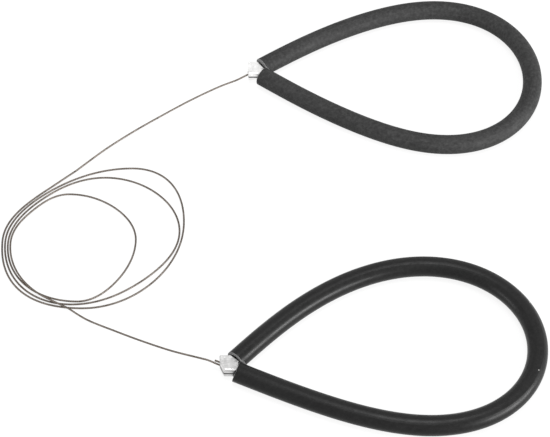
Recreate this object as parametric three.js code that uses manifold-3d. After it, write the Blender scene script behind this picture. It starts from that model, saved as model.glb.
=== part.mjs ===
// Clay cutter: two hand loops of rubber tubing joined by one coiled steel wire.
// Lengths are in millimetres. +X runs to the right, +Y away from the user, and it lies on z = 0.

import * as THREE from "three";
import { mergeVertices } from "three/addons/utils/BufferGeometryUtils.js";
import Module from "manifold-3d";

const wasm = await Module();
wasm.setup();

// Rubber tubing of a hand loop, cut square at both ends, whose inner corners press on each other
const TUBE_DIAMETER = 9.5;
const TUBE_BORE = 6.4;
const TUBE_LENGTH = 351.6;
const TUBE_SIDES = 16;
const BORE_SIDES = 8;
const TUBE_STEPS = 56;
const BEND_SAMPLES = 240;
const CORNER_PRESS = 1.65;
const FACE_DEPTH = 0.1;

// Steel wire, and the clearance between pieces that touch
const WIRE_DIAMETER = 0.8;
const WIRE_SIDES = 8;
const CLEARANCE = 0.3;

// Crimped ferrule: a flattened sleeve whose back edges lie against both tube ends
const FERRULE_LENGTH = 8.9;
const FERRULE_WIDTH = 8.8;
const FERRULE_THICKNESS = 5.3;
const FERRULE_BEVEL = 0.5;
const FRONT_SET_BACK_MIDDLE = 0.15;
const SEAM_HEIGHT = 0.4;
const SEAM_DEPTH = 0.5;

// Wire in a hand loop: its main strand leaves the ferrule, and its tail is cut off short
const STRAND_SPACING = 1.6;
const MAIN_STUB = 0.8;
const BORE_ENTRY_OFFSET = 1.2;
const BORE_LEAD_IN = 2.1;
const BORE_SPANS = 30;

// How each hand loop is bent. The bend is the turn between its ends. The shares are those of the
// higher waves of its curvature, whose third wave is worked out so that its two ends meet.
const HANDLES = {
  upper: {
    place: new THREE.Vector2(-60.4, 86.7),
    facing: THREE.MathUtils.degToRad(-0.74),
    bend: THREE.MathUtils.degToRad(253.42),
    fifthWaveShare: -0.106,
    seventhWaveShare: -0.106,
    secondLeanShare: -0.002,
    fourthLeanShare: 0.024,
    ferruleTurn: THREE.MathUtils.degToRad(0.74),
    ferruleShift: 0.62,
    farStandOff: 0.5,
    frontSetBackNear: 0.35,
    strandShift: -1.08,
    mainSide: -1,
    mainLean: THREE.MathUtils.degToRad(35),
    tailLean: 0,
    tailStub: 0.15,
  },
  lower: {
    place: new THREE.Vector2(-71.74, -98.01),
    facing: THREE.MathUtils.degToRad(11.16),
    bend: THREE.MathUtils.degToRad(253.98),
    fifthWaveShare: -0.024,
    seventhWaveShare: -0.03,
    secondLeanShare: -0.013,
    fourthLeanShare: 0.065,
    ferruleTurn: THREE.MathUtils.degToRad(-11.16),
    ferruleShift: -0.95,
    farStandOff: 0,
    frontSetBackNear: 2.15,
    strandShift: 0.35,
    mainSide: -1,
    mainLean: THREE.MathUtils.degToRad(-26),
    tailLean: THREE.MathUtils.degToRad(-24),
    tailStub: 2.4,
  },
};

// Coil of wire. Its loops' left sides are a pitch apart, each a little lower than the one before,
// and their right sides are their own.
// The shares place each loop's bottom, right and top in the box of the whole coil, and say how far
// its quarters are drawn in, from the one before its bottom to the one after its top.
const COIL_CORNER = new THREE.Vector2(-183.86, -61.47);
const COIL_WIDTH = 86.33;
const COIL_DEPTH = 87.5;
const COIL_PITCH = 1.38;
const COIL_DROP = 0.83;
const COIL_LAYER = 1.3;
const STEPS_PER_QUARTER = 6;
const LEFT_SHARES = [0, 0.468];
const LOOPS = [
  {
    bottomShares: [0.466, 0],
    rightShares: [1.001, 0.584],
    topShares: [0.698, 0.991],
    drawnInShares: [-0.048, 0.01, -0.034, 0.043],
  },
  {
    bottomShares: [0.407, 0.026],
    rightShares: [0.978, 0.526],
    topShares: [0.546, 0.922],
    drawnInShares: [-0.015, 0.054, 0.015, 0.054],
  },
  {
    bottomShares: [0.437, 0.046],
    rightShares: [0.738, 0.464],
    topShares: [0.349, 0.8],
    drawnInShares: [-0.013, 0.04, 0.025, 0.076],
  },
];

// The parts of a turn before and after the full loops, and the straight runs at their ends
const ENTRY = { topShares: [0.582, 0.994], drawnInShares: [0.075], steps: 3, run: 20 };
const EXIT = { bottomShares: [0.512, -0.006], drawnInShares: [0], steps: 4, run: 10 };
const END_RUN = 0.8;
const NUDGE_SHARE = 0.001;
const GAP_PARTS = 4;

// Points of the two free stretches of wire, from each hand loop to the coil, chosen by hand
const LEADS = {
  upper: {
    steps: 50,
    points: [
      [-73, 80.85, 4.72],
      [-81.36, 76.64, 4.5],
      [-95.66, 68.14, 3.7],
      [-109.76, 58.74, 2.6],
      [-123.76, 48.84, 1.5],
      [-137.46, 37.54, 0.7],
    ],
  },
  lower: {
    steps: 36,
    points: [
      [-84, -94.7, 4.72],
      [-88.26, -93.26, 4.65],
      [-100.56, -89.06, 4.15],
      [-113.96, -83.06, 3.3],
      [-127.46, -76.26, 2.4],
      [-141.16, -69.06, 1.85],
    ],
  },
};

// Materials
const RUBBER = { color: 0x2b2b2c, roughness: 0.62, metalness: 0 };
const ALUMINIUM = { color: 0xd9d9d6, roughness: 0.35, metalness: 1 };
const STEEL = { color: 0x8a8580, roughness: 0.4, metalness: 1 };

const wireRadius = WIRE_DIAMETER / 2;
const tubeRadius = TUBE_DIAMETER / 2;

// A route whose steps are shared out evenly between its points, not along its length
class SteppedRoute extends THREE.CatmullRomCurve3 {
  getUtoTmapping(u) {
    return u;
  }
}

// A regular outline drawn round a circle, with a flat side at each end of both axes
function flatSided(radius, sides) {
  const corner = radius / Math.cos(Math.PI / sides);
  const outline = [];
  for (let i = 0; i < sides; i++) {
    const angle = ((2 * i + 1) * Math.PI) / sides;
    outline.push(new THREE.Vector2(corner * Math.cos(angle), corner * Math.sin(angle)));
  }
  return outline;
}

function sweepWire(points, stepsBetween, radius, sides) {
  return new THREE.ExtrudeGeometry(new THREE.Shape(flatSided(radius, sides)), {
    steps: (points.length - 1) * stepsBetween,
    bevelEnabled: false,
    extrudePath: new SteppedRoute(points, false, "centripetal"),
  });
}

function solidFrom(geometry) {
  const bare = geometry.clone();
  bare.deleteAttribute("normal");
  bare.deleteAttribute("uv");
  const merged = mergeVertices(bare);
  return new wasm.Manifold(
    new wasm.Mesh({
      numProp: 3,
      vertProperties: merged.attributes.position.array,
      triVerts: new Uint32Array(merged.index.array),
    }),
  );
}

function geometryFrom(solid) {
  const mesh = solid.getMesh();
  const geometry = new THREE.BufferGeometry();
  geometry.setAttribute("position", new THREE.BufferAttribute(mesh.vertProperties, 3));
  geometry.setIndex(new THREE.BufferAttribute(mesh.triVerts, 1));
  geometry.computeVertexNormals();
  return geometry;
}

function named(name, geometry, finish) {
  const mesh = new THREE.Mesh(geometry, new THREE.MeshStandardMaterial(finish));
  mesh.name = name;
  return mesh;
}

const headed = (angle) => new THREE.Vector2(Math.cos(angle), Math.sin(angle));

// The tube's centre line for one share of the third wave: points from the upper end round to the
// lower one, with the heading at each. The ends' midpoint is the origin and the loop runs to +X.
function bentLine(handle, thirdWaveShare) {
  const curvature = (share) =>
    Math.cos(Math.PI * share) +
    thirdWaveShare * Math.cos(3 * Math.PI * share) +
    handle.fifthWaveShare * Math.cos(5 * Math.PI * share) +
    handle.seventhWaveShare * Math.cos(7 * Math.PI * share) +
    handle.secondLeanShare * Math.sin(2 * Math.PI * share) +
    handle.fourthLeanShare * Math.sin(4 * Math.PI * share);
  const turns = [0];
  for (let i = 0; i < BEND_SAMPLES; i++) {
    const share = (i + 0.5) / BEND_SAMPLES - 0.5;
    turns.push(turns[i] + curvature(share));
  }
  const scale = handle.bend / turns[BEND_SAMPLES];
  const headings = turns.map((turn) => (handle.bend - Math.PI) / 2 - turn * scale);
  const points = [new THREE.Vector2()];
  for (let i = 0; i < BEND_SAMPLES; i++) {
    const heading = (headings[i] + headings[i + 1]) / 2;
    points.push(points[i].clone().addScaledVector(headed(heading), TUBE_LENGTH / BEND_SAMPLES));
  }
  const middle = points[BEND_SAMPLES].clone().divideScalar(2);
  return { points: points.map((point) => point.sub(middle)), headings };
}

// The two ends of a bent tube: centre, way into the tube, and the corner on the loop's inside
function tubeEnds(line) {
  const intoUpper = headed(line.headings[0]);
  const intoLower = headed(line.headings[BEND_SAMPLES] + Math.PI);
  const upper = {
    centre: line.points[0],
    into: intoUpper,
    inward: new THREE.Vector2(intoUpper.y, -intoUpper.x),
  };
  const lower = {
    centre: line.points[BEND_SAMPLES],
    into: intoLower,
    inward: new THREE.Vector2(-intoLower.y, intoLower.x),
  };
  for (const end of [upper, lower]) {
    end.corner = end.centre.clone().addScaledVector(end.inward, tubeRadius);
  }
  return [upper, lower];
}

// The bend whose two inner end corners pass each other as far as they are pressed, found by halving
function closedLine(handle) {
  let low = -1;
  let high = 1;
  for (let i = 0; i < 40; i++) {
    const middle = (low + high) / 2;
    const [upper, lower] = tubeEnds(bentLine(handle, middle));
    if (upper.corner.y - lower.corner.y > -CORNER_PRESS) {
      low = middle;
    } else {
      high = middle;
    }
  }
  return bentLine(handle, low);
}

// Draws in the corners of the tube's ends that would pass the plane on which they press
function pressEnds(geometry, ends) {
  const plane = (ends[0].corner.y + ends[1].corner.y) / 2;
  const position = geometry.attributes.position;
  for (let i = 0; i < position.count; i++) {
    const point = new THREE.Vector2(position.getX(i), position.getY(i));
    for (const { centre, into } of ends) {
      const from = point.clone().sub(centre);
      const onFace = from.length() < TUBE_DIAMETER && Math.abs(from.dot(into)) < FACE_DEPTH;
      const passed = CLEARANCE / 2 - (point.y - plane) * Math.sign(into.y);
      if (onFace && passed > 0) {
        point.addScaledVector(into, passed / Math.abs(into.y));
        position.setXY(i, point.x, point.y);
      }
    }
  }
  return geometry;
}

function gripTube(line, ends) {
  const centre = line.points.map((point) => new THREE.Vector3(point.x, point.y, tubeRadius));
  const section = new THREE.Shape(flatSided(tubeRadius, TUBE_SIDES));
  section.holes.push(new THREE.Path(flatSided(TUBE_BORE / 2, BORE_SIDES)));
  const tube = new THREE.ExtrudeGeometry(section, {
    steps: TUBE_STEPS,
    bevelEnabled: false,
    extrudePath: new THREE.CatmullRomCurve3(centre),
  });
  return pressEnds(tube, ends);
}

// Where two lines cross, each given by a point and a direction
function crossing(point, way, otherPoint, otherWay) {
  const distance = otherPoint.clone().sub(point).cross(otherWay) / way.cross(otherWay);
  return point.clone().addScaledVector(way, distance);
}

// The ferrule's frame in the mouth of a loop, from where its end faces cross, and the lines of the
// ferrule's back edges, of which the far one may stand off its end face
function ferruleFrame(handle, ends) {
  const edges = ends.map((end) => ({
    point: end.corner.clone().addScaledVector(end.into, -CLEARANCE),
    way: end.inward,
  }));
  const tip = crossing(edges[0].point, edges[0].way, edges[1].point, edges[1].way);
  const out = headed(Math.PI + handle.ferruleTurn);
  const side = new THREE.Vector2(out.y, -out.x);
  const at = (forward, sideways) =>
    tip.clone().addScaledVector(out, forward).addScaledVector(side, sideways);
  edges[0].point.addScaledVector(ends[0].into, -handle.farStandOff);
  const near = handle.ferruleShift - FERRULE_WIDTH / 2;
  const far = handle.ferruleShift + FERRULE_WIDTH / 2;
  return { edges, out, at, near, far };
}

function ferruleBlank(handle, { edges, out, at, near, far }) {
  const outline = new THREE.Shape([
    crossing(edges[0].point, edges[0].way, edges[1].point, edges[1].way),
    crossing(at(0, near), out, edges[1].point, edges[1].way),
    at(FERRULE_LENGTH - handle.frontSetBackNear, near),
    at(FERRULE_LENGTH - FRONT_SET_BACK_MIDDLE, (near + far) / 2),
    at(FERRULE_LENGTH, far),
    crossing(at(0, far), out, edges[0].point, edges[0].way),
  ]);
  const blank = new THREE.ExtrudeGeometry(outline, {
    depth: FERRULE_THICKNESS - 2 * FERRULE_BEVEL,
    bevelEnabled: true,
    bevelSegments: 1,
    bevelThickness: FERRULE_BEVEL,
    bevelSize: FERRULE_BEVEL,
    bevelOffset: -FERRULE_BEVEL,
  });
  return blank.translate(0, 0, tubeRadius - FERRULE_THICKNESS / 2 + FERRULE_BEVEL);
}

// The open seam along one side of the flattened sleeve
function seamCut({ out, at }, sideways) {
  const cut = new THREE.BoxGeometry(2 * FERRULE_LENGTH, 2 * SEAM_DEPTH, SEAM_HEIGHT);
  const centre = at(FERRULE_LENGTH / 2, sideways);
  cut.rotateZ(out.angle());
  return cut.translate(centre.x, centre.y, tubeRadius);
}

const leavingWay = (handle, frame) => headed(frame.out.angle() + handle.mainLean);

// The wire's way in at the ferrule's front, round inside the tube and out at the front again
function gripWirePoints(handle, line, ends, frame) {
  const front = FERRULE_LENGTH - FRONT_SET_BACK_MIDDLE;
  const main = { way: leavingWay(handle, frame), stub: MAIN_STUB };
  const tail = { way: headed(frame.out.angle() + handle.tailLean), stub: handle.tailStub };
  const mouth = (end, strand) => {
    const sideways = handle.strandShift + (strand * STRAND_SPACING) / 2;
    const leaving = frame.at(front, sideways);
    const { way, stub } = strand === handle.mainSide ? main : tail;
    const entry = end.centre.clone().addScaledVector(end.inward, BORE_ENTRY_OFFSET);
    const before = entry.clone().addScaledVector(end.into, -BORE_LEAD_IN);
    return [
      leaving.clone().addScaledVector(way, stub),
      leaving.clone().addScaledVector(way, stub / 2),
      leaving,
      leaving.clone().lerp(before, 0.5),
      before,
      entry,
    ];
  };
  const hugging = TUBE_BORE / 2 - wireRadius - CLEARANCE;
  const inBore = [];
  for (let i = 1; i < BORE_SPANS; i++) {
    const share = i / BORE_SPANS;
    const sample = Math.round(share * BEND_SAMPLES);
    const heading = line.headings[sample];
    const inward = new THREE.Vector2(Math.sin(heading), -Math.cos(heading));
    const offset = THREE.MathUtils.lerp(BORE_ENTRY_OFFSET, hugging, Math.sin(Math.PI * share));
    inBore.push(line.points[sample].clone().addScaledVector(inward, offset));
  }
  const route = [...mouth(ends[0], 1), ...inBore, ...mouth(ends[1], -1).reverse()];
  return route.map((point) => new THREE.Vector3(point.x, point.y, tubeRadius));
}

// One hand loop in its place, with the face and the way out of its main strand
function handLoop(name, handle) {
  const line = closedLine(handle);
  const ends = tubeEnds(line);
  const frame = ferruleFrame(handle, ends);
  const wirePoints = gripWirePoints(handle, line, ends, frame);
  const channels = sweepWire(wirePoints, 2, wireRadius + CLEARANCE, WIRE_SIDES);
  const ferrule = solidFrom(ferruleBlank(handle, frame))
    .subtract(solidFrom(channels))
    .subtract(solidFrom(seamCut(frame, frame.near)))
    .subtract(solidFrom(seamCut(frame, frame.far)));
  const group = new THREE.Group();
  group.position.set(handle.place.x, handle.place.y, 0);
  group.rotation.z = handle.facing;
  group.add(
    named(`${name}_grip_tube`, gripTube(line, ends), RUBBER),
    named(`${name}_ferrule`, geometryFrom(ferrule), ALUMINIUM),
    named(`${name}_grip_wire`, sweepWire(wirePoints, 2, wireRadius, WIRE_SIDES), STEEL),
  );
  group.updateMatrixWorld(true);
  const mainEnd = wirePoints[handle.mainSide > 0 ? 0 : wirePoints.length - 1];
  const at = mainEnd.clone().applyMatrix4(group.matrixWorld);
  const leaving = leavingWay(handle, frame);
  const way = new THREE.Vector3(leaving.x, leaving.y, 0).transformDirection(group.matrixWorld);
  return { group, exit: { at, way } };
}

// Centre points of the coil, from the upper stretch of wire to the lower one, with its two end
// faces. Its stations are the tops and bottoms of its turns and, between them, their sides.
function coilRoute() {
  const place = ([across, deep]) =>
    new THREE.Vector2(COIL_CORNER.x + across * COIL_WIDTH, COIL_CORNER.y + deep * COIL_DEPTH);
  const between = new THREE.Vector2(COIL_PITCH, -COIL_DROP);
  const left = (pass) => place(LEFT_SHARES).addScaledVector(between, pass);
  const stations = [place(ENTRY.topShares), left(0)];
  const drawnInShares = [...ENTRY.drawnInShares];
  LOOPS.forEach((loop, index) => {
    stations.push(place(loop.bottomShares), place(loop.rightShares), place(loop.topShares));
    stations.push(left(index + 1));
    drawnInShares.push(...loop.drawnInShares);
  });
  stations.push(place(EXIT.bottomShares));
  drawnInShares.push(...EXIT.drawnInShares);
  const lastQuarter = drawnInShares.length - 1;
  // A point a number of quarters round, on the ellipse between a flat station and a side one
  const pointAt = (turned) => {
    const quarter = Math.min(Math.floor(turned), lastQuarter);
    const startsFlat = quarter % 2 === 0;
    const side = stations[startsFlat ? quarter + 1 : quarter];
    const flat = stations[startsFlat ? quarter : quarter + 1];
    const angle = ((startsFlat ? quarter + 1 - turned : turned - quarter) * Math.PI) / 2;
    const reach = 1 - drawnInShares[quarter] * Math.sin(2 * angle) ** 2;
    const climbed = THREE.MathUtils.smoothstep(turned, lastQuarter - 1, lastQuarter);
    return new THREE.Vector3(
      flat.x + (side.x - flat.x) * Math.cos(angle) * reach,
      side.y + (flat.y - side.y) * Math.sin(angle) * reach,
      wireRadius + COIL_LAYER * climbed,
    );
  };
  const lastStep = lastQuarter * STEPS_PER_QUARTER + EXIT.steps;
  const turns = [];
  for (let step = ENTRY.steps; step <= lastStep; step++) {
    turns.push(pointAt(step / STEPS_PER_QUARTER));
  }
  const run = (step, nudge, length) => {
    const from = pointAt(step / STEPS_PER_QUARTER);
    const way = from.clone().sub(pointAt(step / STEPS_PER_QUARTER - nudge)).normalize();
    const at = from.clone().addScaledVector(way, length);
    return { at, way, near: at.clone().addScaledVector(way, -END_RUN) };
  };
  const start = run(ENTRY.steps, -NUDGE_SHARE, ENTRY.run);
  const end = run(lastStep, NUDGE_SHARE, EXIT.run);
  return { points: [start.at, start.near, ...turns, end.near, end.at], start, end };
}

// The least gap between the turns of a wound wire, from the distance between its centre lines
function leastGap(points) {
  const span = new THREE.Line3();
  const nearest = new THREE.Vector3();
  const halfTurn = 2 * STEPS_PER_QUARTER;
  let least = Infinity;
  for (let i = 0; i < points.length - 1; i++) {
    for (let j = i + halfTurn; j < points.length - 1; j++) {
      span.set(points[j], points[j + 1]);
      for (let part = 0; part < GAP_PARTS; part++) {
        const point = points[i].clone().lerp(points[i + 1], part / GAP_PARTS);
        span.closestPointToPoint(point, true, nearest);
        least = Math.min(least, point.distanceTo(nearest));
      }
    }
  }
  return least - WIRE_DIAMETER / Math.cos(Math.PI / WIRE_SIDES);
}

// A free stretch of wire between the faces of two other stretches, straight for a little at each
function leadWire(from, through, to, steps) {
  const beyond = (face, distance) => face.at.clone().addScaledVector(face.way, distance);
  const points = [
    beyond(from, CLEARANCE),
    beyond(from, CLEARANCE + END_RUN),
    ...through.map((point) => new THREE.Vector3(...point)),
    beyond(to, CLEARANCE + END_RUN),
    beyond(to, CLEARANCE),
  ];
  return new THREE.ExtrudeGeometry(new THREE.Shape(flatSided(wireRadius, WIRE_SIDES)), {
    steps,
    bevelEnabled: false,
    extrudePath: new THREE.CatmullRomCurve3(points, false, "centripetal"),
  });
}

const root = new THREE.Group();
const coil = coilRoute();
root.add(named("wire_coil", sweepWire(coil.points, 1, wireRadius, WIRE_SIDES), STEEL));
const coilFaces = { upper: coil.start, lower: coil.end };
for (const [name, handle] of Object.entries(HANDLES)) {
  const loop = handLoop(name, handle);
  const lead = LEADS[name];
  const leadGeometry = leadWire(loop.exit, lead.points, coilFaces[name], lead.steps);
  root.add(loop.group, named(`${name}_lead_wire`, leadGeometry, STEEL));
}
console.log(`least gap between the turns of the coil: ${leastGap(coil.points).toFixed(3)} mm`);

export default root;
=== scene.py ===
import math

import bpy
import numpy as np
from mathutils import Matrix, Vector


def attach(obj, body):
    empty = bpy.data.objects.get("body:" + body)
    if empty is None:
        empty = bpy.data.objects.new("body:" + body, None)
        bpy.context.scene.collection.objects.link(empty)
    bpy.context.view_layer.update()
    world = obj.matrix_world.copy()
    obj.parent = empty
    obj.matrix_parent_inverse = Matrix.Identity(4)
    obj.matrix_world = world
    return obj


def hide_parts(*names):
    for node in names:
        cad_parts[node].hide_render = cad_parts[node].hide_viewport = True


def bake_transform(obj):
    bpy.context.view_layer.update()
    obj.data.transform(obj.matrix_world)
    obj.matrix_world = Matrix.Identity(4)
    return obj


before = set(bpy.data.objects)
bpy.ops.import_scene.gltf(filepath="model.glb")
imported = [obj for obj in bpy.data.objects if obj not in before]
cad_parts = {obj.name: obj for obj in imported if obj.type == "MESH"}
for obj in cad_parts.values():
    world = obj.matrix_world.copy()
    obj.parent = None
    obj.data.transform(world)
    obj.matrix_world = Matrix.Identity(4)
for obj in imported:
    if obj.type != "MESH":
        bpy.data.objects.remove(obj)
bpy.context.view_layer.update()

# Lengths and places below are in millimetres, as in the part's source. MM turns them into metres.
MM = 0.001

# Rubber tubing of a hand loop, whose two ends press on each other with their inner corners
TUBE_RADIUS = 4.75
BORE_RADIUS = 3.2
TUBE_LENGTH = 351.6
BEND_SAMPLES = 240
CORNER_PRESS = 1.65
PRESSED_REACH = 5
TUBE_SIDES = 96
BORE_STRIDE = 4
EDGE_ROUNDING = 0.3
EDGE_STEPS = 3

# Mouth of the tubing: how deep its bore is painted pale, as painted light lifting its shade, and the rim
# and depth over which it is squeezed.
# The ferrule presses a notch into the near end, deepest at this place round the section.
PAINTED_LIGHT_BORE_REACH = 12
MOUTH_RIM = 1
MOUTH_CLOSING_REACH = 6
NOTCH_FACING = math.radians(120)

# Steel wire, and the clearance between pieces that touch. The strands stand out further than the
# plain wire's radius, and the grooves between them go in further, so the mean thickness is kept.
WIRE_RADIUS = 0.4
STRANDED_RADIUS = 0.46
CLEARANCE = 0.3
GROOVE_SHARE = 0.78
STRANDS = 6
SIDES_PER_STRAND = 4
LAY_LENGTH = 5.2
WIRE_STEP = 0.4
HIDDEN_WIRE_STEP = 2.4
MOUTH_REACH = 26

# Crimped ferrule: its size, rounded edges, and the seam between its two layers
FERRULE_LENGTH = 8.9
FERRULE_WIDTH = 8.8
FERRULE_THICKNESS = 5.3
FRONT_SET_BACK_MIDDLE = 0.15
LAYER_ROUNDING = 0.9
BACK_ROUNDING_SHARE = 0.3
CORNER_ROUNDINGS = (0.3, 0.8, 0.5, 4, 0.5, 0.8)
SEAM_HALF = 0.3
SEAM_DEPTH = 0.6
SEAM_LIP = (0.06, 0.12)
STRAND_HOLE = 0.54

# Marks of the crimping jaws: place along the ferrule, width and depth
CRIMP_MARKS = [(3.4, 0.9, 0.12), (6.6, 0.9, 0.12)]

# Wire in a hand loop
STRAND_SPACING = 1.6
MAIN_STUB = 0.8
BORE_ENTRY_OFFSET = 1.2
BORE_LEAD_IN = 2.1
BORE_SPANS = 30

# How each hand loop is bent and where it lies
HANDLES = {
    "upper": {
        "place": (-60.4, 86.7),
        "facing": math.radians(-0.74),
        "bend": math.radians(253.42),
        "odd_waves": {5: -0.106, 7: -0.106},
        "leans": {2: -0.002, 4: 0.024},
        "ferrule_turn": math.radians(0.74),
        "ferrule_shift": 0.62,
        "far_stand_off": 0.5,
        "front_set_back_near": 0.35,
        "strand_shift": -1.08,
        "main_side": -1,
        "main_lean": math.radians(35),
        "tail_lean": 0,
        "tail_stub": 0.15,
        "mouth_closed": 1.2,
        "near_notch": 0.3,
    },
    "lower": {
        "place": (-71.74, -98.01),
        "facing": math.radians(11.16),
        "bend": math.radians(253.98),
        "odd_waves": {5: -0.024, 7: -0.03},
        "leans": {2: -0.013, 4: 0.065},
        "ferrule_turn": math.radians(-11.16),
        "ferrule_shift": -0.95,
        "far_stand_off": 0,
        "front_set_back_near": 2.15,
        "strand_shift": 0.35,
        "main_side": -1,
        "main_lean": math.radians(-26),
        "tail_lean": math.radians(-24),
        "tail_stub": 2.4,
        "mouth_closed": 0,
        "near_notch": 1.5,
    },
}

# Coil of wire: stations round it, as shares of its box, and how far its quarters are drawn in
COIL_CORNER = (-183.86, -61.47)
COIL_BOX = (86.33, 87.5)
COIL_PITCH = 1.38
COIL_DROP = 0.83
COIL_LAYER = 1.3
FINE_STEPS_PER_QUARTER = 60
LEFT = (0, 0.468)
ENTRY_TOP = (0.582, 0.994)
ENTRY_DRAWN_IN = 0.075
ENTRY_TURNED = 0.5
ENTRY_RUN = 20
LOOPS = [
    ((0.466, 0), (1.001, 0.584), (0.698, 0.991), (-0.048, 0.01, -0.034, 0.043)),
    ((0.407, 0.026), (0.978, 0.526), (0.546, 0.922), (-0.015, 0.054, 0.015, 0.054)),
    ((0.437, 0.046), (0.738, 0.464), (0.349, 0.8), (-0.013, 0.04, 0.025, 0.076)),
]
EXIT_BOTTOM = (0.512, -0.006)
EXIT_TURNED = 2 / 3
EXIT_RUN = 10
END_RUN = 0.8

# Points of the two free stretches of wire, from each hand loop to the coil
LEADS = {
    "upper": [
        (-73, 80.85, 4.72),
        (-81.36, 76.64, 4.5),
        (-95.66, 68.14, 3.7),
        (-109.76, 58.74, 2.6),
        (-123.76, 48.84, 1.5),
        (-137.46, 37.54, 0.7),
    ],
    "lower": [
        (-84, -94.7, 4.72),
        (-88.26, -93.26, 4.65),
        (-100.56, -89.06, 4.15),
        (-113.96, -83.06, 3.3),
        (-127.46, -76.26, 2.4),
        (-141.16, -69.06, 1.85),
    ],
}

# Fine lines that the die leaves along the tubing: place round the section, width and height
DIE_LINES = [
    (math.radians(68), 0.05, 0.07),
    (math.radians(124), 0.05, 0.06),
    (math.radians(248), 0.05, 0.06),
    (math.radians(310), 0.05, 0.05),
]

# Each hand loop's surface: tone, roughness, gloss and share of dust specks. Both loops are the same
# rubber: the upper loop's paler tone is painted light, standing in for the washed-out look that light
# from behind gives the farther loop.
RUBBERS = {
    "upper": (0.034, 0.62, 0.2, 0.05),
    "lower": (0.008, 0.36, 0.2, 0.18),
}
FERRULE_TONES = {"upper": 0.97, "lower": 0.62}

# The photograph's view, from 50 degrees above the floor and along +Y. Places are in metres.
CAMERA_PLACE = (-0.05366, -0.70341, 0.83055)
CAMERA_TILT = math.radians(40)
CAMERA_LENS = 147.24
SENSOR_WIDTH = 36

# Floor and light. Each lamp has a place, a width and height, and watts.
FLOOR_HALF = 3.0
FLOOR_HEIGHT = -0.0001
FLOOR_TONE = 0.2
FLOOR_GLOW = 0.86
WORLD_LIGHT = 0.55
LAMP_AIM = (-0.05, 0, 0)
LAMPS = {
    "overhead": ((0.02, -0.05, 1.2), (0.6, 0.3), 5),
    "front_right": ((0.86, -0.6, 0.24), (0.6, 0.28), 10.5),
    "right_side": ((0.95, -0.28, 0.16), (0.5, 0.12), 3.6),
    "left_side": ((-1.0, -0.32, 0.1), (0.5, 0.12), 2.4),
}


def make_camera():
    data = bpy.data.cameras.new("camera")
    data.sensor_width = SENSOR_WIDTH
    data.lens = CAMERA_LENS
    camera = bpy.data.objects.new("camera", data)
    camera.location = CAMERA_PLACE
    camera.rotation_euler = (CAMERA_TILT, 0, 0)
    bpy.context.scene.collection.objects.link(camera)
    bpy.context.scene.camera = camera


# Curves


def headed(angle):
    """The unit vector of a plan that points at an angle."""
    return np.stack([np.cos(angle), np.sin(angle)], axis=-1)


def unit(vector):
    return vector / np.linalg.norm(vector)


def turned_by(way, angle):
    c, s = math.cos(angle), math.sin(angle)
    return np.array([way[0] * c - way[1] * s, way[0] * s + way[1] * c])


def crossing(point, way, other, other_way):
    """Where two lines of a plan cross, each given by a point and a direction."""
    across = np.array([other_way[1], -other_way[0]])
    return point + way * np.dot(other - point, across) / np.dot(way, across)


def from_line(points, spot, way):
    """How far points of a plan are from a line."""
    return np.abs((points - spot) @ turned_by(way, math.pi / 2))


def flat(points, height):
    """Points of a plan, as an array, at one height."""
    points = np.array(points, float)
    return np.column_stack([points, np.full(len(points), float(height))])


def smoothstep(x, low, high):
    """0 at the low value, 1 at the high one, and a soft rise between them."""
    t = np.clip((x - low) / (high - low), 0, 1)
    return t * t * (3 - 2 * t)


def along(points):
    """How far each point is along its line."""
    return np.concatenate([[0], np.cumsum(np.linalg.norm(np.diff(points, axis=0), axis=1))])


def respaced(points, step):
    """The same line in even steps of about that length."""
    places = along(points)
    count = max(1, round(places[-1] / step))
    even = np.linspace(0, places[-1], count + 1)
    return np.column_stack([np.interp(even, places, points[:, axis]) for axis in range(3)])


def rounded_line(points, per_span=24):
    """A centripetal Catmull-Rom curve through the points."""
    points = np.array(points, float)
    ends = [2 * points[0] - points[1]], [2 * points[-1] - points[-2]]
    known = np.vstack([ends[0], points, ends[1]])
    out = [points[0]]
    for a, b, c, d in zip(known, known[1:], known[2:], known[3:]):
        knots = np.cumsum([0] + [np.linalg.norm(q - p) ** 0.5 for p, q in ((a, b), (b, c), (c, d))])
        for t in np.linspace(knots[1], knots[2], per_span + 1)[1:]:
            def mixed(p, q, i, j):
                return p + (q - p) * (t - knots[i]) / (knots[j] - knots[i])

            ab, bc, cd = mixed(a, b, 0, 1), mixed(b, c, 1, 2), mixed(c, d, 2, 3)
            out.append(mixed(mixed(ab, bc, 0, 2), mixed(bc, cd, 1, 3), 1, 2))
    return np.array(out)


# Hand loops


def bent_line(handle, third_wave):
    """The tube's centre line and the heading at each point, from its upper end round to the lower."""
    share = (np.arange(BEND_SAMPLES) + 0.5) / BEND_SAMPLES - 0.5
    waves = {1: 1, 3: third_wave, **handle["odd_waves"]}
    curvature = sum(size * np.cos(n * np.pi * share) for n, size in waves.items())
    curvature = curvature + sum(size * np.sin(n * np.pi * share) for n, size in handle["leans"].items())
    turns = np.concatenate([[0], np.cumsum(curvature)])
    headings = (handle["bend"] - np.pi) / 2 - turns * handle["bend"] / turns[-1]
    steps = headed((headings[:-1] + headings[1:]) / 2) * TUBE_LENGTH / BEND_SAMPLES
    points = np.vstack([[0, 0], np.cumsum(steps, axis=0)])
    return points - points[-1] / 2, headings


def tube_ends(points, headings):
    """For both ends of the tube: centre, way into the tube and way to the loop's inside."""
    upper, lower = headed(headings[0]), -headed(headings[-1])
    return [
        (points[0], upper, np.array([upper[1], -upper[0]])),
        (points[-1], lower, np.array([-lower[1], lower[0]])),
    ]


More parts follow.
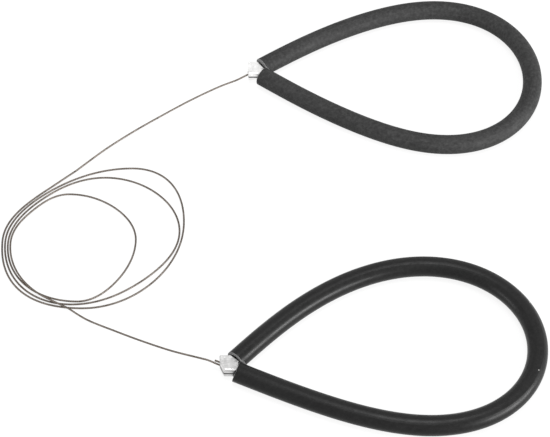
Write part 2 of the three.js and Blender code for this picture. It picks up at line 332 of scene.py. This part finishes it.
def closed_line(handle):
    """The bend whose inner end corners press past each other, in its place on the floor."""
    low, high = -1.0, 1.0
    for _ in range(40):
        middle = (low + high) / 2
        (up, _, up_in), (down, _, down_in) = tube_ends(*bent_line(handle, middle))
        if (up + up_in * TUBE_RADIUS)[1] - (down + down_in * TUBE_RADIUS)[1] > -CORNER_PRESS:
            low = middle
        else:
            high = middle
    points, headings = bent_line(handle, low)
    c, s = math.cos(handle["facing"]), math.sin(handle["facing"])
    turned = points @ np.array([[c, s], [-s, c]])
    return turned + np.array(handle["place"]), headings + handle["facing"]


def ferrule_frame(handle, ends):
    """The ferrule's place in the mouth: its back edges, its way out and a function for points."""
    edges = [(c + inward * TUBE_RADIUS - into * CLEARANCE, inward) for c, into, inward in ends]
    tip = crossing(*edges[0], *edges[1])
    edges[0] = edges[0][0] - ends[0][1] * handle["far_stand_off"], edges[0][1]
    out = headed(math.pi + handle["ferrule_turn"] + handle["facing"])
    side = np.array([out[1], -out[0]])
    return edges, out, lambda forward, sideways: tip + out * forward + side * sideways


def grip_wire_route(handle, points, headings, ends, out, at):
    """The wire from its end at the ferrule's front, round inside the tube and out again."""
    front = FERRULE_LENGTH - FRONT_SET_BACK_MIDDLE

    def mouth(end, strand):
        centre, into, inward = end
        is_main = strand == handle["main_side"]
        stub = MAIN_STUB if is_main else handle["tail_stub"]
        way = turned_by(out, handle["main_lean" if is_main else "tail_lean"])
        entry = centre + inward * BORE_ENTRY_OFFSET
        before = entry - into * BORE_LEAD_IN
        face = at(front, handle["strand_shift"] + strand * STRAND_SPACING / 2)
        return [face + way * stub, face + way * stub / 2, face, (face + before) / 2, before, entry]

    share = np.arange(1, BORE_SPANS) / BORE_SPANS
    sample = np.round(share * BEND_SAMPLES).astype(int)
    inward = np.stack([np.sin(headings[sample]), -np.cos(headings[sample])], axis=1)
    hugging = BORE_RADIUS - WIRE_RADIUS - CLEARANCE
    offset = BORE_ENTRY_OFFSET + (hugging - BORE_ENTRY_OFFSET) * np.sin(np.pi * share)
    bore = points[sample] + inward * offset[:, None]
    return flat([*mouth(ends[0], 1), *bore, *mouth(ends[1], -1)[::-1]], TUBE_RADIUS)


# Coil


def coil_route():
    """The coil's centre line, from the upper stretch of wire to the lower one."""
    corner, box = np.array(COIL_CORNER), np.array(COIL_BOX)

    def place(shares):
        return corner + np.array(shares) * box

    stations = [place(ENTRY_TOP), place(LEFT)]
    drawn_in = [ENTRY_DRAWN_IN]
    for index, (bottom, right, top, shares) in enumerate(LOOPS):
        left = place(LEFT) + (index + 1) * np.array([COIL_PITCH, -COIL_DROP])
        stations += [place(bottom), place(right), place(top), left]
        drawn_in += shares
    stations.append(place(EXIT_BOTTOM))
    drawn_in.append(0)
    last = len(drawn_in) - 1

    def point_at(turned):
        quarter = min(int(turned), last)
        starts_flat = quarter % 2 == 0
        side = stations[quarter + 1 if starts_flat else quarter]
        level = stations[quarter if starts_flat else quarter + 1]
        angle = (quarter + 1 - turned if starts_flat else turned - quarter) * math.pi / 2
        reach = 1 - drawn_in[quarter] * math.sin(2 * angle) ** 2
        x = level[0] + (side[0] - level[0]) * math.cos(angle) * reach
        y = side[1] + (level[1] - side[1]) * math.sin(angle) * reach
        return np.array([x, y, WIRE_RADIUS + COIL_LAYER * smoothstep(turned, last - 1, last)])

    first, final = ENTRY_TURNED, last + EXIT_TURNED
    steps = round((final - first) * FINE_STEPS_PER_QUARTER)
    turns = [point_at(first + (final - first) * i / steps) for i in range(steps + 1)]
    before, beyond = unit(turns[0] - turns[1]), unit(turns[-1] - turns[-2])
    before[2] = beyond[2] = 0
    return np.array([turns[0] + before * ENTRY_RUN, *turns, turns[-1] + beyond * EXIT_RUN])


# Meshes


def add_piece(name, vertices, faces, materials, face_slots=None, rest_places=None):
    """A smooth-shaded mesh piece. Vertices and rest places are in millimetres."""
    mesh = bpy.data.meshes.new(name)
    mesh.from_pydata((np.asarray(vertices) * MM).tolist(), [], faces)
    mesh.shade_smooth()
    for material in materials:
        mesh.materials.append(material)
    if face_slots is not None:
        mesh.polygons.foreach_set("material_index", np.asarray(face_slots, np.int32))
    rest = mesh.attributes.new("rest_place", "FLOAT_VECTOR", "POINT")
    places = vertices if rest_places is None else rest_places
    rest.data.foreach_set("vector", (np.asarray(places, np.float32) * MM).ravel())
    mesh.validate()
    piece = bpy.data.objects.new(name, mesh)
    bpy.context.scene.collection.objects.link(piece)
    return piece


def ring_faces(rings, sides, closed=False):
    """Quads between rings of that many vertices each, in order."""
    faces = []
    for i in range(rings if closed else rings - 1):
        a, b = i * sides, ((i + 1) % rings) * sides
        for j in range(sides):
            k = (j + 1) % sides
            faces.append((a + j, a + k, b + k, b + j))
    return faces


def fan(centre, first, count, reverse=False):
    """Triangles that close a ring of vertices round its middle one."""
    pairs = [(first + j, first + (j + 1) % count) for j in range(count)]
    return [(centre, b, a) if reverse else (centre, a, b) for a, b in pairs]


def pressed(vertices, straight, points, headings, handle):
    """The tube squeezed back where its ends press on each other and where the ferrule sits."""
    ends = tube_ends(points, headings)
    distances = straight[:, 0]
    away = np.arctan2(straight[:, 2], straight[:, 1]) - NOTCH_FACING
    notch = handle["near_notch"] * ((1 + np.cos(away)) / 2) ** 2
    middle = np.mean([centre + inward * TUBE_RADIUS for centre, _, inward in ends], axis=0)
    for (_, into, _), from_end, side in zip(ends, (distances, TUBE_LENGTH - distances), (1, -1)):
        up = headed(handle["facing"] + np.pi / 2) * side
        passed = CLEARANCE / 2 - (vertices[:, :2] - middle) @ up
        back = np.clip(from_end + passed / np.dot(into, up), 0, PRESSED_REACH)
        if side < 0:
            back = np.maximum(back, notch)
        share = np.clip(1 - from_end / PRESSED_REACH, 0, 1)
        vertices[:, :2] += (back * share)[:, None] * into
    return vertices


def tube_profile(lengths):
    """Stations round the tube's wall: distance along it, radius and whether it is in the bore."""
    outer_edge = [
        (EDGE_ROUNDING * (1 - math.sin(turn)), TUBE_RADIUS - EDGE_ROUNDING * (1 - math.cos(turn)))
        for turn in np.linspace(0, np.pi / 2, EDGE_STEPS + 1)
    ]
    bore_edge = [(d, BORE_RADIUS + TUBE_RADIUS - r) for d, r in outer_edge]
    profile = [(d, r, False) for d, r in outer_edge[::-1]]
    profile += [(d, TUBE_RADIUS, False) for d in lengths[1:-1]]
    profile += [(TUBE_LENGTH - d, r, False) for d, r in outer_edge]
    profile += [(TUBE_LENGTH - d, r, True) for d, r in bore_edge[::-1]]
    profile += [(d, BORE_RADIUS, True) for d in lengths[BORE_STRIDE:-1:BORE_STRIDE][::-1]]
    profile += [(d, r, True) for d, r in bore_edge]
    return profile


def is_cut_or_mouth(station, following):
    """Whether the wall between two stations is a cut face or the mouth of the bore, which is painted
    pale as painted light.
    """
    distance, _, in_bore = station
    is_face = abs(distance - following[0]) < EDGE_ROUNDING * 0.9
    from_end = min(distance, TUBE_LENGTH - distance)
    return is_face or (in_bore and from_end < PAINTED_LIGHT_BORE_REACH)


def tube_mesh(name, handle, points, headings, materials):
    """The rubber tube: outer wall, cut ends with rounded edges, and bore, as one closed surface."""
    angles = 2 * np.pi * np.arange(TUBE_SIDES) / TUBE_SIDES
    lengths = np.linspace(0, TUBE_LENGTH, BEND_SAMPLES + 1)

    def ring(distance, radius, in_bore):
        x = np.interp(distance, lengths, points[:, 0])
        y = np.interp(distance, lengths, points[:, 1])
        heading = np.interp(distance, lengths, headings)
        right = np.array([np.sin(heading), -np.cos(heading), 0])
        radii = np.full(TUBE_SIDES, float(radius))
        if in_bore:
            from_end = min(distance, TUBE_LENGTH - distance)
            open_share = smoothstep(from_end, MOUTH_RIM, MOUTH_CLOSING_REACH)
            radii -= handle["mouth_closed"] * (1 - open_share)
        else:
            radii = radii + die_lines(angles) * min(1, radius / TUBE_RADIUS)
        around = np.cos(angles)[:, None] * right + np.sin(angles)[:, None] * np.array([0, 0, 1])
        places = [np.full(TUBE_SIDES, distance), radii * np.cos(angles), radii * np.sin(angles)]
        return np.array([x, y, TUBE_RADIUS]) + around * radii[:, None], np.column_stack(places)

    profile = tube_profile(lengths)
    made = [ring(*station) for station in profile]
    straight = np.vstack([places for _, places in made])
    bent = np.vstack([vertices for vertices, _ in made])
    vertices = pressed(bent, straight, points, headings, handle)
    slots = []
    for station, following in zip(profile, profile[1:] + profile[:1]):
        slots += [int(is_cut_or_mouth(station, following))] * TUBE_SIDES
    faces = [face[::-1] for face in ring_faces(len(profile), TUBE_SIDES, closed=True)]
    return add_piece(name, vertices, faces, materials, slots, straight)


def die_lines(angles):
    """How far the extrusion's fine lengthwise lines stand off the tube, round its section."""
    height = np.zeros_like(angles)
    for middle, width, size in DIE_LINES:
        away = np.angle(np.exp(1j * (angles - middle)))
        height += size * np.exp(-((away / width) ** 2))
    return height


def strand_section():
    """A stranded wire's outline in polar form, as shares of its radius, one strand after another."""
    count = STRANDS * SIDES_PER_STRAND
    angles = 2 * np.pi * np.arange(count) / count
    within = (angles * STRANDS / (2 * np.pi)) % 1
    off_middle = (within - 0.5) * 2 * np.pi / STRANDS
    # A strand's own radius is a third of the wire's, and its middle is two thirds out
    strand, out = 1 / 3, 2 / 3
    span = np.sqrt(np.maximum(strand**2 - (out * np.sin(off_middle)) ** 2, 0))
    return angles, np.maximum(out * np.cos(off_middle) + span, GROOVE_SHARE)


def frames_along(points):
    """Two unit vectors across the line at each point, which don't twist about it."""
    ways = np.gradient(points, axis=0)
    ways /= np.linalg.norm(ways, axis=1, keepdims=True)
    across = np.zeros_like(points)
    across[0] = unit(np.cross(ways[0], [0, 0, 1.0]))
    for i in range(1, len(points)):
        across[i] = unit(across[i - 1] - ways[i] * np.dot(across[i - 1], ways[i]))
    return across, np.cross(ways, across)


def wire_piece(name, whole, first, last, material):
    """One piece of the wire: rings from the first to the last index of the whole line."""
    points, across, up, places = (part[first : last + 1] for part in whole)
    angles, shares = strand_section()
    count = len(angles)
    twist = 2 * np.pi * places / LAY_LENGTH
    turned = angles[None, :] + twist[:, None]
    radii = STRANDED_RADIUS * shares
    aside, above = np.cos(turned) * radii, np.sin(turned) * radii
    offsets = aside[..., None] * across[:, None] + above[..., None] * up[:, None]
    vertices = (points[:, None] + offsets).reshape(-1, 3)
    distances = np.broadcast_to(places[:, None], turned.shape)
    straight = np.stack([distances, aside, above], axis=-1).reshape(-1, 3)
    vertices = np.vstack([vertices, points[:1], points[-1:]])
    straight = np.vstack([straight, [[places[0], 0, 0], [places[-1], 0, 0]]])
    faces = ring_faces(len(points), count)
    faces += fan(len(vertices) - 2, 0, count, reverse=True)
    faces += fan(len(vertices) - 1, (len(points) - 1) * count, count)
    return add_piece(name, vertices, faces, [material], None, straight)


def ferrule_outline(handle, edges, out, at):
    """The ferrule's plan with rounded corners, and its inward normals."""
    near = handle["ferrule_shift"] - FERRULE_WIDTH / 2
    far = handle["ferrule_shift"] + FERRULE_WIDTH / 2
    corners = np.array([
        crossing(*edges[0], *edges[1]),
        crossing(at(0, near), out, *edges[1]),
        at(FERRULE_LENGTH - handle["front_set_back_near"], near),
        at(FERRULE_LENGTH - FRONT_SET_BACK_MIDDLE, (near + far) / 2),
        at(FERRULE_LENGTH, far),
        crossing(at(0, far), out, *edges[0]),
    ])
    return rounded_outline(corners, CORNER_ROUNDINGS)


def ferrule_profile():
    """Steps up the sleeve's side, from its bottom face to its top one: inset and height."""
    half = FERRULE_THICKNESS / 2
    layer_edge = [
        (LAYER_ROUNDING * (1 - math.sin(turn)), LAYER_ROUNDING * (1 - math.cos(turn)))
        for turn in np.linspace(0, np.pi / 2, 7)
    ]
    lip_inset, lip_height = SEAM_LIP
    seam_edge = [(0, SEAM_HALF + lip_height), (lip_inset, SEAM_HALF), (SEAM_DEPTH, SEAM_HALF)]
    profile = [(inset, drop - half) for inset, drop in layer_edge]
    profile += [(inset, -height) for inset, height in seam_edge]
    profile += seam_edge[::-1]
    profile += [(inset, half - drop) for inset, drop in layer_edge[::-1]]
    return profile


def seam_opening(handle, forward, sideways):
    """How much wider each half of the seam opens at the ferrule's front, round the strands."""
    opening = np.zeros(len(sideways))
    for strand in (1, -1):
        off = sideways - (handle["strand_shift"] + strand * STRAND_SPACING / 2)
        opening = np.maximum(opening, np.sqrt(np.maximum(STRAND_HOLE**2 - off**2, 0)))
    return opening * smoothstep(forward, FERRULE_LENGTH - 4, FERRULE_LENGTH - 3)


def reach_into_tube(handle, edges, plan, level):
    """How far the near back edge sits in the soft end of the tube, more so toward the top."""
    half = FERRULE_THICKNESS / 2
    spot, way = edges[1]
    from_tip = np.abs((plan - crossing(*edges[0], *edges[1])) @ way)
    from_edge = from_line(plan, spot, way)
    share = smoothstep(from_tip, 0, 4) * (1 - smoothstep(from_edge, 0, 3))
    return handle["near_notch"] * share * (0.2 + 0.35 * (level + half) / half)


def ferrule_mesh(name, handle, edges, out, at, material):
    """The flattened sleeve: two layers with a seam between them, rounded edges and crimp marks."""
    side = np.array([out[1], -out[0]])
    half = FERRULE_THICKNESS / 2
    outline, inward = ferrule_outline(handle, edges, out, at)
    count = len(outline)
    middle = outline.mean(axis=0)
    plan = outline - at(0, 0)
    opening = seam_opening(handle, plan @ out, plan @ side)
    at_back = np.max([1 - smoothstep(from_line(outline, *edge), 0.1, 0.8) for edge in edges], axis=0)
    rounding = 1 - (1 - BACK_ROUNDING_SHARE) * at_back

    def side_ring(inset, height):
        if abs(height) > SEAM_HALF + SEAM_LIP[1]:
            level = half - (half - abs(height)) * rounding
        else:
            level = np.maximum(abs(height), opening + abs(height) - SEAM_HALF)
        rim = outline + inward * (inset * rounding)[:, None]
        return np.column_stack([rim, TUBE_RADIUS + np.sign(height) * level])

    def face_rings(rim, height):
        level = np.full(count, TUBE_RADIUS + height)
        shares = np.linspace(0.92, 0.08, 12)
        return [np.column_stack([middle + (rim - middle) * share, level]) for share in shares]

    sides = [side_ring(*step) for step in ferrule_profile()]
    bottom = face_rings(sides[0][:, :2], -half)[::-1]
    rings = bottom + sides + face_rings(sides[-1][:, :2], half)
    centres = [[*middle, TUBE_RADIUS - half], [*middle, TUBE_RADIUS + half]]
    vertices = np.vstack([*rings, centres])
    faces = ring_faces(len(rings), count)
    faces += fan(len(vertices) - 2, 0, count, reverse=True)
    faces += fan(len(vertices) - 1, (len(rings) - 1) * count, count)
    plan = vertices[:, :2] - at(0, 0)
    level = vertices[:, 2] - TUBE_RADIUS
    straight = np.column_stack([plan @ out, plan @ side, level])
    dents = crimp_dents(plan @ out, plan @ side - handle["ferrule_shift"])
    on_face = smoothstep(np.abs(level), half - 0.4, half)
    vertices[:, 2] -= np.sign(level) * dents * on_face
    vertices[:, :2] -= reach_into_tube(handle, edges, vertices[:, :2], level)[:, None] * out
    return add_piece(name, vertices, faces, [material], None, straight)


def crimp_dents(ahead, aside):
    """Depth of the marks that the crimping jaws leave across the sleeve."""
    inside = smoothstep(FERRULE_WIDTH / 2 - np.abs(aside), 0.6, 2)
    dents = sum(
        depth * np.exp(-(((ahead - place) / width) ** 2))
        for place, width, depth in CRIMP_MARKS
    )
    return dents * inside


def rounded_outline(corners, radii, arc_steps=5, edge_step=0.45):
    """A polygon's outline with rounded corners and even steps, and its inward normals."""
    points = []
    count = len(corners)
    for i in range(count):
        corner, before, after = corners[i], corners[i - 1], corners[(i + 1) % count]
        a, b = unit(before - corner), unit(after - corner)
        half = math.acos(np.clip(np.dot(a, b), -1, 1)) / 2
        shorter = min(np.linalg.norm(before - corner), np.linalg.norm(after - corner))
        reach = min(radii[i] / math.tan(half), 0.45 * shorter)
        for t in np.linspace(0, 1, arc_steps + 1):
            points.append(corner + a * reach * (1 - t) ** 2 + b * reach * t**2)
    points = np.array(points)
    filled = []
    for p, q in zip(points, np.roll(points, -1, axis=0)):
        parts = max(1, math.ceil(np.linalg.norm(q - p) / edge_step))
        filled += [p + (q - p) * n / parts for n in range(parts)]
    filled = np.array(filled)
    ways = np.roll(filled, -1, axis=0) - np.roll(filled, 1, axis=0)
    ways /= np.linalg.norm(ways, axis=1, keepdims=True)
    area = np.sum(filled[:, 0] * np.roll(filled[:, 1], -1) - np.roll(filled[:, 0], -1) * filled[:, 1])
    if area < 0:
        filled, ways = filled[::-1], -ways[::-1]
    return filled, np.column_stack([-ways[:, 1], ways[:, 0]])


# Materials


class Nodes:
    """A material's node tree, with short ways to add and link its nodes."""

    def __init__(self, name):
        self.material = bpy.data.materials.new(name)
        self.material.use_nodes = True
        self.tree = self.material.node_tree
        self.shader = self.tree.nodes["Principled BSDF"]

    def add(self, kind, inputs=None, **settings):
        node = self.tree.nodes.new(kind)
        for key, value in settings.items():
            setattr(node, key, value)
        for key, value in (inputs or {}).items():
            if isinstance(value, bpy.types.NodeSocket):
                self.tree.links.new(value, node.inputs[key])
            else:
                node.inputs[key].default_value = value
        return node

    def math(self, operation, a, b=0.0, clamp=False):
        node = self.add("ShaderNodeMath", {0: a, 1: b}, operation=operation)
        node.use_clamp = clamp
        return node.outputs[0]

    def between(self, value, low, high, to_low=0.0, to_high=1.0):
        inputs = {"Value": value, "From Min": low, "From Max": high, "To Min": to_low, "To Max": to_high}
        return self.add("ShaderNodeMapRange", inputs).outputs["Result"]

    def mix(self, factor, a, b):
        node = self.add("ShaderNodeMix", data_type="RGBA")
        for socket, value in ((0, factor), (6, a), (7, b)):
            if isinstance(value, bpy.types.NodeSocket):
                self.tree.links.new(value, node.inputs[socket])
            else:
                node.inputs[socket].default_value = value
        return node.outputs[2]

    def places(self, stretch=(1, 1, 1)):
        source = self.add("ShaderNodeAttribute", attribute_name="rest_place").outputs["Vector"]
        return self.add("ShaderNodeMapping", {"Vector": source, "Scale": stretch}).outputs["Vector"]

    def noise(self, vector, scale, detail=2.0, roughness=0.5):
        inputs = {"Vector": vector, "Scale": scale, "Detail": detail, "Roughness": roughness}
        return self.add("ShaderNodeTexNoise", inputs).outputs["Fac"]

    def bump(self, height, distance, strength=1.0, under=None):
        inputs = {"Height": height, "Distance": distance, "Strength": strength}
        if under is not None:
            inputs["Normal"] = under
        return self.add("ShaderNodeBump", inputs).outputs["Normal"]

    def set(self, **values):
        for key, value in values.items():
            socket = self.shader.inputs[key.replace("_", " ")]
            if isinstance(value, bpy.types.NodeSocket):
                self.tree.links.new(value, socket)
            else:
                socket.default_value = value


def grey(value, warm=0.0):
    """A grey colour, turned toward red by the warm share."""
    return (value * (1 + warm), value, value * (1 - warm), 1)


def rubber(name, tone, roughness, gloss, dust):
    """Black rubber, clouded and mottled, with fine lengthwise lines and specks of dust."""
    n = Nodes(name)
    places = n.places()
    cloud = n.noise(places, 55, 3)
    grain = n.noise(places, 2600, 2, 0.6)
    lines = n.noise(n.places((0.02, 1, 1)), 1500, 2)
    mottle = n.noise(places, 620, 3, 0.6)
    shade = n.mix(n.between(cloud, 0.35, 0.65), grey(tone * 0.85), grey(tone * 1.15))
    shade = n.mix(n.between(mottle, 0.5, 0.75, 0, 0.7), shade, grey(tone * 1.9))
    shade = n.mix(n.between(mottle, 0.5, 0.28, 0, 0.7), shade, grey(tone * 0.4))
    shade = n.mix(n.between(lines, 0.55, 0.75, 0, 0.35), shade, grey(tone * 1.6))
    cell_inputs = {"Vector": places, "Scale": 210.0, "Randomness": 1.0}
    cells = n.add("ShaderNodeTexVoronoi", cell_inputs, feature="F1")
    chance = n.add("ShaderNodeSeparateColor", {"Color": cells.outputs["Color"]}).outputs[0]
    chosen = n.between(chance, 1 - dust, 1 - dust + 0.001)
    speck = n.math("MULTIPLY", n.between(cells.outputs["Distance"], 0.11, 0.06), chosen)
    shade = n.mix(n.math("MULTIPLY", speck, 0.75), shade, grey(0.5, 0.02))
    rough = n.between(n.noise(places, 180, 4), 0.3, 0.7, roughness - 0.05, roughness + 0.07)
    normal = n.bump(grain, 0.00004, 0.5)
    normal = n.bump(lines, 0.00003, 0.6, normal)
    n.set(Base_Color=shade, Roughness=rough, Normal=normal, Specular_IOR_Level=gloss)
    return n.material


def cut_rubber_and_painted_light(name):
    """Rubber where it was sawn off, also used on the bore's mouth: paler and rough. The pale tone is
    partly the cut face's own and partly painted light that lifts the shade in the mouth and on the faces
    behind the ferrule.
    """
    n = Nodes(name)
    places = n.places()
    mottle = n.noise(places, 1300, 3, 0.65)
    saw = n.noise(n.places((1, 0.15, 1)), 2600, 2)
    # Painted light, partly the cut face's own tone: this pale grey lifts the shade in the bore's mouth
    # and on the cut faces.
    shade = n.mix(n.between(mottle, 0.35, 0.7), grey(0.1), grey(0.3))
    normal = n.bump(n.math("ADD", mottle, saw), 0.00012, 0.8)
    n.set(Base_Color=shade, Roughness=n.between(mottle, 0.3, 0.7, 0.6, 0.8), Normal=normal)
    return n.material


def aluminium(name, tone):
    """Drawn sleeve metal, its seam darkened by painted shade and partly by dirt, and smudged toward the
    tube.
    """
    n = Nodes(name)
    grain = n.noise(n.places((0.06, 1, 1)), 1800, 3)
    blotch = n.noise(n.places(), 420, 3)
    dull, bright = grey(tone * 0.82, 0.005), grey(min(1, tone * 1.14), 0.005)
    shade = n.mix(n.between(blotch, 0.35, 0.7), dull, bright)
    shade = n.mix(n.between(grain, 0.55, 0.8, 0, 0.45), shade, grey(tone * 0.6))
    place = n.add("ShaderNodeSeparateXYZ", {"Vector": n.places()}).outputs
    smudge = n.math("MULTIPLY", n.between(place[0], 0.0045, 0.0015), n.between(blotch, 0.48, 0.6))
    shade = n.mix(n.math("MULTIPLY", smudge, 0.7), shade, grey(tone * 0.25))
    # Painted shade, partly dirt: the recess of the seam is darkened in colour.
    height = n.math("ABSOLUTE", place[2])
    shade = n.mix(n.between(height, 0.00055, 0.00036), shade, grey(0.07))
    rough = n.between(grain, 0.3, 0.7, 0.26, 0.44)
    normal = n.bump(grain, 0.00003, 0.5)
    n.set(Base_Color=shade, Roughness=rough, Metallic=1.0, Normal=normal)
    return n.material


def steel(name):
    """Tarnished steel, in warm patches of dark and paler grey."""
    n = Nodes(name)
    patches = n.noise(n.places(), 160, 3)
    fine = n.noise(n.places((0.3, 1, 1)), 3500, 2)
    shade = n.mix(n.between(patches, 0.35, 0.65), (0.095, 0.079, 0.066, 1), (0.17, 0.146, 0.127, 1))
    shade = n.mix(n.between(fine, 0.45, 0.8, 0, 0.6), shade, (0.26, 0.235, 0.212, 1))
    rough = n.between(fine, 0.3, 0.7, 0.34, 0.52)
    n.set(Base_Color=shade, Roughness=rough, Metallic=1.0, Normal=n.bump(fine, 0.00001, 0.5))
    n.set(Specular_Tint=(0.45, 0.43, 0.41, 1))
    return n.material


# The camera comes first, then the wire, in pieces from one hand loop round the coil to the other

make_camera()

loops = {}
for side_name, handle in HANDLES.items():
    line = closed_line(handle)
    ends = tube_ends(*line)
    mouth = ferrule_frame(handle, ends)
    route = grip_wire_route(handle, *line, ends, *mouth[1:])
    loops[side_name] = {"line": line, "mouth": mouth, "route": route}

coil_line = coil_route()


def grip_line(side_name):
    """The wire in a hand loop, from its main strand's end to its tail's."""
    route = loops[side_name]["route"]
    starts_at_main = HANDLES[side_name]["main_side"] > 0
    return rounded_line(route if starts_at_main else route[::-1], 8)


def lead_line(side_name, grip, coil_end, coil_way):
    """A free stretch of wire, from a hand loop's face to the coil's."""
    loop_way = unit(grip[0] - grip[1])
    near = [grip[0] + loop_way * run for run in (0, CLEARANCE, CLEARANCE + END_RUN)]
    far = [coil_end + coil_way * run for run in (CLEARANCE + END_RUN, CLEARANCE, 0)]
    return rounded_line([*near, *LEADS[side_name], *far])


coil_ends = {
    "upper": (coil_line[0], unit(coil_line[0] - coil_line[1])),
    "lower": (coil_line[-1], unit(coil_line[-1] - coil_line[-2])),
}
grips = {side_name: grip_line(side_name) for side_name in HANDLES}
leads = {name: lead_line(name, grips[name], *coil_ends[name]) for name in HANDLES}

# The wire's pieces in order along it
STRETCHES = [
    "upper_grip_wire_strand",
    "upper_lead_strand_by_loop",
    "upper_lead_strand_by_coil",
    "wire_coil_strand",
    "lower_lead_strand_by_coil",
    "lower_lead_strand_by_loop",
    "lower_grip_wire_strand",
]


def halves(line):
    """A line in even steps, cut in the middle."""
    fine = respaced(line, WIRE_STEP)
    cut = len(fine) // 2
    return fine[: cut + 1], fine[cut:]


def grip_steps(line):
    """Fine steps where the wire shows at the mouth, long ones where the tube hides it."""
    fine = respaced(line, WIRE_STEP)
    stride = round(HIDDEN_WIRE_STEP / WIRE_STEP)
    shown = round(MOUTH_REACH / WIRE_STEP)
    hidden = fine[shown:-shown:stride]
    return np.vstack([fine[:shown], hidden, fine[-shown:]])


lines = [
    grip_steps(grips["upper"])[::-1],
    *halves(leads["upper"]),
    respaced(coil_line, WIRE_STEP),
    *halves(leads["lower"][::-1]),
    grip_steps(grips["lower"]),
]
whole_points, cuts = [lines[0]], [0, len(lines[0]) - 1]
for line in lines[1:]:
    whole_points.append(line[1:])
    cuts.append(cuts[-1] + len(line) - 1)
whole_points = np.vstack(whole_points)
whole = (whole_points, *frames_along(whole_points), along(whole_points))

steel_material = steel("stranded_steel")
strands = {}
for name, first, last in zip(STRETCHES, cuts, cuts[1:]):
    piece = wire_piece(name, whole, first, last, steel_material)
    strands[name] = (piece, whole_points[first : last + 1] * MM)


def declare(name, lay, exit_at_start, *nodes):
    """Hides the CAD nodes that a wire piece stands for."""
    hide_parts(*nodes)


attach(strands["wire_coil_strand"][0], "coil")
declare("wire_coil_strand", "coiled", True, "wire_coil")
for side_name, (coil_end, coil_way) in coil_ends.items():
    by_coil = f"{side_name}_lead_strand_by_coil"
    by_loop = f"{side_name}_lead_strand_by_loop"
    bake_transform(strands[by_coil][0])
    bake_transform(strands[by_loop][0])
    declare(by_coil, "loose", side_name == "lower", f"{side_name}_lead_wire")
    declare(by_loop, "loose", side_name == "upper", f"{side_name}_lead_wire")
    held = strands[f"{side_name}_grip_wire_strand"][0]
    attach(held, f"{side_name}_loop")
    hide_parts(f"{side_name}_grip_wire")

# Hand loops

cut_and_painted_light_material = cut_rubber_and_painted_light("cut_rubber_and_painted_light")
for side_name, handle in HANDLES.items():
    loop = loops[side_name]
    skin = rubber(f"{side_name}_rubber", *RUBBERS[side_name])
    metal = aluminium(f"{side_name}_crimped_aluminium", FERRULE_TONES[side_name])
    tubing = [skin, cut_and_painted_light_material]
    tube = tube_mesh(f"{side_name}_grip_tubing", handle, *loop["line"], tubing)
    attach(tube, f"{side_name}_loop")
    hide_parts(f"{side_name}_grip_tube")
    sleeve = ferrule_mesh(f"{side_name}_crimped_ferrule", handle, *loop["mouth"], metal)
    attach(sleeve, f"{side_name}_loop")
    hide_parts(f"{side_name}_ferrule")


# Floor, world and lamps


def shown_rays(nodes, links):
    """1 for rays that show the background: from the camera, by reflection or through glass."""
    path = nodes.new("ShaderNodeLightPath")
    total = path.outputs["Is Camera Ray"]
    for name in ("Is Glossy Ray", "Is Transmission Ray"):
        either = nodes.new("ShaderNodeMath")
        either.operation = "MAXIMUM"
        links.new(total, either.inputs[0])
        links.new(path.outputs[name], either.inputs[1])
        total = either.outputs[0]
    return total


def make_floor():
    """A matt floor that glows white where it is seen."""
    mesh = bpy.data.meshes.new("floor")
    s = FLOOR_HALF
    mesh.from_pydata([(-s, -s, 0), (s, -s, 0), (s, s, 0), (-s, s, 0)], [], [(0, 1, 2, 3)])
    floor = bpy.data.objects.new("floor", mesh)
    floor.location.z = FLOOR_HEIGHT
    bpy.context.scene.collection.objects.link(floor)
    material = bpy.data.materials.new("floor")
    material.use_nodes = True
    nodes, links = material.node_tree.nodes, material.node_tree.links
    nodes.clear()
    out = nodes.new("ShaderNodeOutputMaterial")
    matt = nodes.new("ShaderNodeBsdfDiffuse")
    matt.inputs["Color"].default_value = grey(FLOOR_TONE)
    glow = nodes.new("ShaderNodeEmission")
    glow.inputs["Color"].default_value = (1, 1, 1, 1)
    both = nodes.new("ShaderNodeAddShader")
    strength = nodes.new("ShaderNodeMath")
    strength.operation = "MULTIPLY"
    strength.inputs[1].default_value = FLOOR_GLOW
    links.new(shown_rays(nodes, links), strength.inputs[0])
    links.new(strength.outputs[0], glow.inputs["Strength"])
    links.new(matt.outputs[0], both.inputs[0])
    links.new(glow.outputs[0], both.inputs[1])
    links.new(both.outputs[0], out.inputs["Surface"])
    mesh.materials.append(material)


def make_world():
    """A white surround, dimmer where it only lights the object."""
    world = bpy.data.worlds.new("studio")
    bpy.context.scene.world = world
    world.use_nodes = True
    nodes, links = world.node_tree.nodes, world.node_tree.links
    nodes.clear()
    out = nodes.new("ShaderNodeOutputWorld")
    light = nodes.new("ShaderNodeBackground")
    light.inputs["Strength"].default_value = WORLD_LIGHT
    shown = nodes.new("ShaderNodeBackground")
    shown.inputs["Strength"].default_value = 1.0
    for background in (light, shown):
        background.inputs["Color"].default_value = (1, 1, 1, 1)
    pick = nodes.new("ShaderNodeMixShader")
    links.new(shown_rays(nodes, links), pick.inputs[0])
    links.new(light.outputs[0], pick.inputs[1])
    links.new(shown.outputs[0], pick.inputs[2])
    links.new(pick.outputs[0], out.inputs["Surface"])


def make_lamp(name, place, size, watts):
    data = bpy.data.lights.new(name, "AREA")
    data.shape = "RECTANGLE"
    data.size, data.size_y = size
    data.energy = watts
    lamp = bpy.data.objects.new(name, data)
    lamp.location = place
    lamp.rotation_euler = (Vector(LAMP_AIM) - Vector(place)).to_track_quat("-Z", "Y").to_euler()
    lamp.visible_camera = False
    bpy.context.scene.collection.objects.link(lamp)


make_floor()
make_world()
for lamp_name, settings in LAMPS.items():
    make_lamp(lamp_name, *settings)

view = bpy.context.scene.view_settings
view.view_transform = "Standard"
